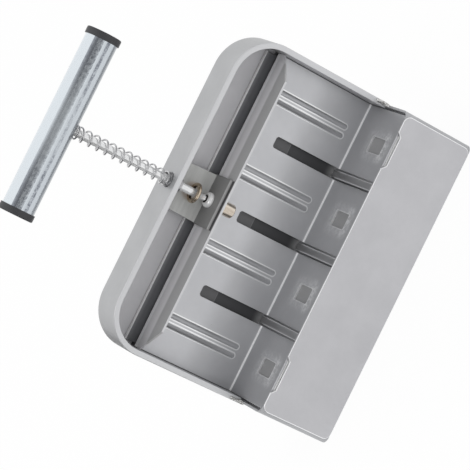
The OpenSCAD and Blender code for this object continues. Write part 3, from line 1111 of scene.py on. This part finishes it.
@dataclass
class Mould(Group):
    """Mould, dividers, frame and back panel."""

    body: str = "mould"
    bead_size: float = 2.7 * MM
    bead_pitch: float = 1.9 * MM
    foot_rise: float = 11 * MM

    def build(self) -> None:
        """Makes and dresses the pieces of the fixed side."""
        f = self.finishes
        sheets = [
            ("mould_shell", "mould_skirt", 0.25 * MM, Slot.GALVANISED, f.skirt, f.rim),
            ("front_plate", "front_face", 0.5 * MM, Slot.GALVANISED, f.sheet, f.rim),
            ("frame_bar", "frame_strap", 0.5 * MM, Slot.GALVANISED, f.strap),
            ("back_panel", "rear_panel", 0.2 * MM, Slot.DULL, f.panel),
        ]
        for side in ("left", "middle", "right"):
            sheets.append((f"divider_{side}", f"{side}_divider", 0.2 * MM, Slot.DULL, f.divider))
        sheets.append(("guide_bush", "rod_guide", 0.25 * MM, Slot.DARK, f.bush))
        sheets.append(("frame_welds", "weld_fillets", 0.3 * MM, Slot.WELD, f.weld))
        self.copies(sheets)
        self.welds()

    def welds(self) -> None:
        """Lays rows of overlapping weld drops along each foot of the frame and up its front edge."""
        low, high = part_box("frame_welds")
        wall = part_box("mould_shell")[1]
        run = (high.y - low.y) * 0.92
        tree = Tree(
            "weld_rows",
            {
                "Wall X": wall.x - self.bead_size * 0.1,
                "Front Y": high.y - run,
                "Leg Y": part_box("frame_bar")[0].y - 0.2 * MM,
                "Height": wall.z - self.bead_size * 0.15,
                "Run": run,
                "Pitch": self.bead_pitch,
                "Rise": self.foot_rise,
                "Drop Radius": self.bead_size / 2,
            },
            seed=4,
        )
        g, size = tree.graph, tree.sizes
        rows = []
        for side in (-1, 1):
            wall_x = size["Wall X"] * side
            runs = (
                (size["Front Y"], size["Run"], (0, 1, 0)),
                (size["Leg Y"], size["Rise"], (0, 0, 1)),
            )
            for depth, length, direction in runs:
                start = g.node("ShaderNodeCombineXYZ", inputs={0: wall_x, 1: depth, 2: size["Height"]})
                step = g.node(
                    "ShaderNodeVectorMath", {"operation": "SCALE"}, {0: direction, "Scale": size["Pitch"]}
                )
                rows.append(
                    g.node(
                        "GeometryNodeMeshLine",
                        {"mode": "OFFSET"},
                        {"Count": length / size["Pitch"], "Start Location": start, "Offset": step},
                    )
                )
        drop = g.node("GeometryNodeMeshIcoSphere", inputs={"Radius": size["Drop Radius"], "Subdivisions": 3})
        scale = g.node(
            "FunctionNodeRandomValue", {"data_type": "FLOAT"}, {2: 0.75, 3: 1.45, "Seed": tree.seed}, 1
        )
        spread = g.node("ShaderNodeCombineXYZ", inputs={0: scale * 0.8, 1: scale * 1.3, 2: scale * 1.25})
        drops = g.node(
            "GeometryNodeInstanceOnPoints",
            inputs={"Points": g.joined(rows), "Instance": drop, "Scale": spread},
        )
        settle(tree.grow("weld_drops", drops, self.finishes.weld), Slot.WELD, self.body)


@dataclass
class Pusher(Group):
    """Pusher sheet with its pads, pins, bar and bracket."""

    def build(self) -> None:
        """Makes and dresses the pieces of the moving sheet-metal side."""
        f = self.finishes
        pieces = [
            ("pusher_sheet", "pusher_plate", 0.35 * MM, Slot.GALVANISED, f.pusher, f.fold),
            ("stiffener_bar", "stiffening_bar", 0.35 * MM, Slot.DARK, f.bar),
            ("seed_pins", "dibble_pins", 0.8 * MM, Slot.PAD, f.pad),
            ("stop_bracket", "angle_bracket", 0.3 * MM, Slot.BRACKET, f.bracket),
        ]
        for number in range(1, 5):
            pieces.append((f"press_pad_{number}", f"pad_{number}", 0.5 * MM, Slot.PAD, f.pad))
        self.copies(pieces)


@dataclass
class RodFittings(Group):
    """Rod, collar, dome nut and sleeve nut, all on the rod's axis."""

    thread_r: float = 2.0 * MM
    thread_pitch: float = 0.7 * MM
    thread_depth: float = 0.3 * MM
    thread_gap: float = 0.06 * MM

    def __post_init__(self) -> None:
        """Reads the rod's axis from the frame."""
        low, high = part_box("plunger_rod")
        self.axis = Vector(((low.x + high.x) / 2, (low.y + high.y) / 2, 0))
        self.low_z, self.high_z = low.z, high.z
        self.rod_r = (high.x - low.x) / 2

    def build(self) -> None:
        """Makes and dresses the fittings."""
        self.rod()
        self.collar()
        self.dome()
        self.sleeve()

    def fit(
        self, node: str, name: str, shape: bmesh.types.BMesh, foot: float, slot: Slot,
        coat: bpy.types.Material,
    ) -> None:
        """Puts a turned piece on the rod's axis.

        Args:
            node: The CAD node that it replaces.
            name: The piece's name.
            shape: The turned solid, with its foot at 0.
            foot: Height of its foot.
            slot: The record's slot that its finish belongs to.
            coat: Its material.
        """
        place = Matrix.Translation(self.axis + Vector((0, 0, foot)))
        settle(placed(shape, name, place, coat), slot, self.body, node)

    def measures(self, node: str) -> tuple[float, float, float]:
        """Height of a CAD node's foot, its radius and its own height."""
        low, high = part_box(node)
        return low.z, (high.x - low.x) / 2, high.z - low.z

    def rod(self) -> None:
        """Rod with a shoulder at the collar and a thread below it."""
        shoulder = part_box("rod_collar")[0].z
        outline = [(0, self.low_z)]
        count = int((shoulder - self.low_z) / self.thread_pitch)
        step = (shoulder - self.low_z) / count
        root = self.thread_r - self.thread_depth
        for k in range(count):
            z = self.low_z + k * step
            outline += [(root, z), (self.thread_r, z + step * 0.5)]
        outline += [(root, shoulder), (self.rod_r - 0.4 * MM, shoulder)]
        outline += [(self.rod_r, shoulder + 0.4 * MM), (self.rod_r, self.high_z - 0.4 * MM)]
        outline += [(self.rod_r - 0.4 * MM, self.high_z), (0, self.high_z)]
        self.fit("plunger_rod", "rod", turned(outline, 48), 0, Slot.BRIGHT, self.finishes.rod)

    def collar(self) -> None:
        """Collar with rounded rims, cut flat where it meets the bracket."""
        foot, outer, height = self.measures("rod_collar")
        inner = 4.45 * MM
        r = height * 0.42
        outline = (
            arc((outer - r, height - r), r, 0, 90, 6)
            + arc((inner + r * 0.6, height - r * 0.6), r * 0.6, 90, 180, 5)
            + arc((inner + r * 0.4, r * 0.4), r * 0.4, 180, 270, 3)
            + arc((outer - r * 0.6, r * 0.6), r * 0.6, 270, 360, 4)
        )
        shape = turned(outline, closed=True)
        back = Vector((0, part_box("rod_collar")[1].y - self.axis.y, 0))
        cut = bmesh.ops.bisect_plane(
            shape, geom=shape.verts[:] + shape.edges[:] + shape.faces[:],
            plane_co=back, plane_no=(0, 1, 0), clear_outer=True,
        )
        rim = [e for e in cut["geom_cut"] if isinstance(e, bmesh.types.BMEdge)]
        bmesh.ops.edgeloop_fill(shape, edges=rim)
        self.fit("rod_collar", "collar_ring", shape, foot, Slot.TINTED, self.finishes.collar)

    def dome(self) -> None:
        """Dome nut with a skirt and a countersink round the rod, which its finish paints in shadow."""
        foot, half, height = self.measures("dome_nut")
        bore = self.thread_r + self.thread_gap
        mouth = self.thread_r + 0.75 * MM
        skirt = 0.9 * MM
        outline = [(bore, 0), (half - 0.2 * MM, 0), (half, 0.2 * MM), (half, skirt)]
        rise = height - skirt - 1.1 * MM
        run = half - mouth
        for k in range(1, 13):
            a = math.radians(90 * k / 12)
            outline.append((mouth + run * math.cos(a), skirt + rise * math.sin(a)))
        outline += [(mouth - 0.1 * MM, skirt + rise - 0.15 * MM), (bore, skirt + rise - 1.6 * MM)]
        shape = turned(outline, closed=True)
        self.fit("dome_nut", "dome_cap_nut", shape, foot, Slot.BRIGHT, self.finishes.nut)

    def sleeve(self) -> None:
        """Sleeve nut with chamfered ends and a countersunk bore."""
        foot, half, height = self.measures("sleeve_nut")
        c = 0.8 * MM
        bore = self.thread_r + self.thread_gap
        outline = [(bore + c, 0), (half - c, 0)] + arc((half - c, c), c, -90, 0, 5)[1:]
        outline += [(half, height - 0.3 * MM), (half - 0.3 * MM, height), (bore, height), (bore, c)]
        shape = turned(outline, closed=True)
        self.fit("sleeve_nut", "sleeve_fitting", shape, foot, Slot.TINTED, self.finishes.sleeve)


@dataclass
class Spring(Group):
    """Return spring: a coil with closed ends that shortens as the plunger goes down."""

    body: str = "mould"
    wire: float = 1.2 * MM
    gap: float = 0.2 * MM
    turns: float = 11.0
    end_turns: float = 1.25
    steps: int = 40
    sides: int = 12

    def build(self) -> None:
        """Sweeps the wire along a coil."""
        low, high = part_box("return_spring")
        middle = (low.y + high.y) / 2
        tree = Tree(
            "coil",
            {
                "Radius": (high.x - low.x) / 2 - self.wire / 2,
                "Centre Y": middle,
                "Low": low.z + self.wire / 2,
                "High": high.z - self.wire / 2,
                "Wire Radius": self.wire / 2,
            },
        )
        g, size = tree.graph, tree.sizes
        total = self.turns + 2 * self.end_turns
        closed = self.wire + self.gap
        turn = g.node("GeometryNodeInputIndex") / self.steps
        past = turn - self.end_turns
        pitch = (size["High"] - size["Low"] - 2 * self.end_turns * closed) / self.turns
        height = (
            size["Low"]
            + turn.at_most(self.end_turns) * closed
            + past.at_least(0).at_most(self.turns) * pitch
            + (past - self.turns).at_least(0) * closed
        )
        angle = turn * TURN
        point = g.node(
            "ShaderNodeCombineXYZ",
            inputs={
                0: angle.cosine() * size["Radius"],
                1: angle.sine() * size["Radius"] + size["Centre Y"],
                2: height,
            },
        )
        line = g.node("GeometryNodeMeshLine", inputs={"Count": int(total * self.steps) + 1})
        coil = g.node("GeometryNodeSetPosition", inputs={"Geometry": line, "Position": point})
        path = g.node("GeometryNodeMeshToCurve", inputs={"Mesh": coil})
        section = g.node(
            "GeometryNodeCurvePrimitiveCircle",
            inputs={"Resolution": self.sides, "Radius": size["Wire Radius"]},
        )
        swept = g.node(
            "GeometryNodeCurveToMesh",
            inputs={"Curve": path, "Profile Curve": section, "Fill Caps": True},
        )
        piece = tree.grow("coil_spring", swept, self.finishes.spring)
        settle(piece, Slot.SPRING, self.body, "return_spring")
        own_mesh(piece)


@dataclass
class Handle(Group):
    """Cross tube with its end caps and the block that anchors the rod."""

    lip: float = 0.9 * MM

    def build(self) -> None:
        """Makes and dresses the handle."""
        f = self.finishes
        self.copies(
            [
                ("handle_tube", "grip_tube", 0.2 * MM, Slot.TUBE, f.tube),
                ("handle_anchor", "anchor_block", 0.4 * MM, Slot.DULL, f.dull),
            ]
        )
        self.cap("end_cap_left", "left_cap", -1)
        self.cap("end_cap_right", "right_cap", 1)

    def cap(self, node: str, name: str, side: int) -> None:
        """Moulded cap: a rounded disc with a hollow plug.

        Args:
            node: The CAD node that it replaces.
            name: The piece's name.
            side: -1 for the left end, 1 for the right.
        """
        low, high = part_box(node)
        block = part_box("handle_anchor")
        tube_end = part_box("handle_tube")[1].x
        outer = (high.z - low.z) / 2
        length = max(abs(low.x), abs(high.x)) - tube_end
        plug = (high.x - low.x) - length
        bore = (block[1].z - block[0].z) / 2
        wall = 1.8 * MM
        r = self.lip
        outline = [(0, -1.2 * MM), (bore - wall, -1.2 * MM), (bore - wall, -plug), (bore - 0.3 * MM, -plug)]
        outline += [(bore, -plug + 0.6 * MM), (bore, 0)]
        outline += arc((outer - 0.3 * MM, 0.3 * MM), 0.3 * MM, -90, 0, 3)
        outline += arc((outer - r, length - r), r, 0, 90, 7)
        outline += [(outer - 2.6 * r, length), (outer - 3.1 * r, length - 0.12 * MM), (0, length - 0.12 * MM)]
        centre = Vector((side * tube_end, (low.y + high.y) / 2, (low.z + high.z) / 2))
        facing = Euler((0, side * math.pi / 2, 0)).to_matrix().to_4x4()
        piece = placed(turned(outline), name, Matrix.Translation(centre) @ facing, self.finishes.cap)
        settle(piece, Slot.CAP, self.body, node)


# ---- Studio ----


@dataclass
class Studio:
    """White floor and surroundings, a dark card, one soft lamp, and the camera where the photo was taken.

    The tilts are degrees from straight up towards the camera's side: metal sees the surroundings darker
    from the first pair to the second. The sides are shares of a look straight left or right.
    """

    azimuth: float = 1.13
    elevation: float = 29.42
    roll: float = -63.17
    distance: float = 1.77243
    target: tuple[float, float, float] = (-0.01308, 0.0, 0.12011)
    focal_pixels: float = 2661.5
    image_pixels: int = 470
    floor_size: float = 12.0
    floor_white: float = 0.94
    card_x: float = -0.24
    card_size: float = 1.6
    card_strength: float = 0.03
    world_strength: float = 0.9
    lamp_watts: float = 6.0
    lamp_sides: Pair = (1.4, 1.0)
    lamp_place: tuple[float, float, float] = (-0.9, -0.5, 1.6)
    lamp_aim: tuple[float, float, float] = (0, 0, 0.12)
    tilt_in: Pair = (14, 34)
    tilt_out: Pair = (64, 96)
    behind_camera: float = 0.56
    left_side: Pair = (0.5, 0.68)
    left_share: float = 0.8
    right_side: Pair = (0.7, 0.84)
    right_share: float = 0.5
    sensor: float = 36.0

    def build(self) -> None:
        """Makes the floor, the card, the surroundings, the lamp and the camera."""
        self.floor()
        self.card()
        self.surroundings()
        self.lamp()
        self.camera()

    def flat(
        self, name: str, x: Pair, half: float, height: float, coat: bpy.types.Material
    ) -> bpy.types.Object:
        """Lays a level rectangle.

        Args:
            name: Its name.
            x: Its left and right ends.
            half: Half its depth.
            height: Its height.
            coat: Its material.

        Returns:
            The rectangle.
        """
        corners = [(x[0], -half, height), (x[1], -half, height), (x[1], half, height), (x[0], half, height)]
        mesh = bpy.data.meshes.new(name)
        mesh.from_pydata(corners, [], [(0, 1, 2, 3)])
        mesh.materials.append(coat)
        return new_object(name, mesh)

    def floor(self) -> None:
        """Floor that glows nearly white to the camera and in metal, and takes a soft shadow."""
        s = Shader("pale_floor")
        camera, glossy, through = s.rays()
        seen = (camera + glossy + through).at_most(1) * self.floor_white
        paint = s.node("ShaderNodeBsdfDiffuse", inputs={"Color": (0.95, 0.95, 0.95, 1)})
        both = s.node("ShaderNodeMixShader", inputs={0: seen, 1: paint, 2: s.glow(1.0)})
        half = self.floor_size / 2
        self.flat("floor", (-half, half), half, 0, s.close(both))

    def card(self) -> None:
        """Dark card on the floor beside the object's left end, which only reflections show."""
        s = Shader("black_card")
        x = (self.card_x - self.card_size, self.card_x)
        card = self.flat("card", x, self.card_size / 2, 1 * MM, s.close(s.glow(self.card_strength)))
        card.visible_camera = card.visible_diffuse = card.visible_shadow = card.visible_transmission = False

    def surroundings(self) -> None:
        """White surroundings; metal sees them darker behind the camera and at both sides."""
        world = bpy.data.worlds.new("studio")
        bpy.context.scene.world = world
        world.use_nodes = True
        g = Graph(world.node_tree)
        look = g.node("ShaderNodeTexCoord", output="Generated")
        x, y, z = (g.node("ShaderNodeSeparateXYZ", inputs={0: look}, output=name) for name in "XYZ")
        tilt = (-y).angle_to(z)
        behind = tilt.step(*self.tilt_in) * (1 - tilt.step(*self.tilt_out)) * self.behind_camera
        left = (-x).step(*self.left_side) * self.left_share
        right = x.step(*self.right_side) * self.right_share
        camera, glossy, through = g.rays()
        mirrored = (1 - behind) * (1 - left) * (1 - right)
        metal = (glossy + through).at_most(1)
        plain = (1 - left * 0.4) * self.world_strength
        strength = camera + (1 - camera) * (metal * mirrored + (1 - metal) * plain)
        g.node("ShaderNodeOutputWorld", inputs={"Surface": g.glow(strength, "ShaderNodeBackground")})

    def lamp(self) -> None:
        """Large soft lamp above, in front and to the left."""
        data = bpy.data.lights.new("softbox", "AREA")
        data.shape = "RECTANGLE"
        data.size, data.size_y = self.lamp_sides
        data.energy = self.lamp_watts
        lamp = bpy.data.objects.new("softbox", data)
        lamp.location = self.lamp_place
        aim = Vector(self.lamp_aim) - Vector(lamp.location)
        lamp.rotation_euler = aim.to_track_quat("-Z", "Y").to_euler()
        bpy.context.scene.collection.objects.link(lamp)

    def camera(self) -> None:
        """Camera at the photo's place, turned about its own axis as the photo is."""
        a, e, r = (math.radians(v) for v in (self.azimuth, self.elevation, self.roll))
        ahead = Vector((math.sin(a) * math.cos(e), math.cos(a) * math.cos(e), -math.sin(e)))
        level = Vector((math.cos(a), -math.sin(a), 0))
        upright = level.cross(ahead)
        right = level * math.cos(r) + upright * math.sin(r)
        up = upright * math.cos(r) - level * math.sin(r)
        data = bpy.data.cameras.new("camera")
        data.sensor_width = self.sensor
        data.lens = self.focal_pixels / self.image_pixels * self.sensor
        data.clip_start, data.clip_end = 0.05, 50
        camera = bpy.data.objects.new("camera", data)
        basis = Matrix((right, up, -ahead)).transposed().to_4x4()
        camera.matrix_world = Matrix.Translation(Vector(self.target) - ahead * self.distance) @ basis
        bpy.context.scene.collection.objects.link(camera)
        bpy.context.scene.camera = camera


def main() -> None:
    """Builds the object's pieces, the studio and the camera."""
    logging.basicConfig(level=logging.INFO, format="%(name)s: %(message)s")
    bpy.context.scene.view_settings.view_transform = "Standard"
    finishes = Finishes(Places.read())
    for part in (Mould, Pusher, RodFittings, Spring, Handle):
        part(finishes).build()
    Studio().build()


if __name__ == "__main__":
    main()
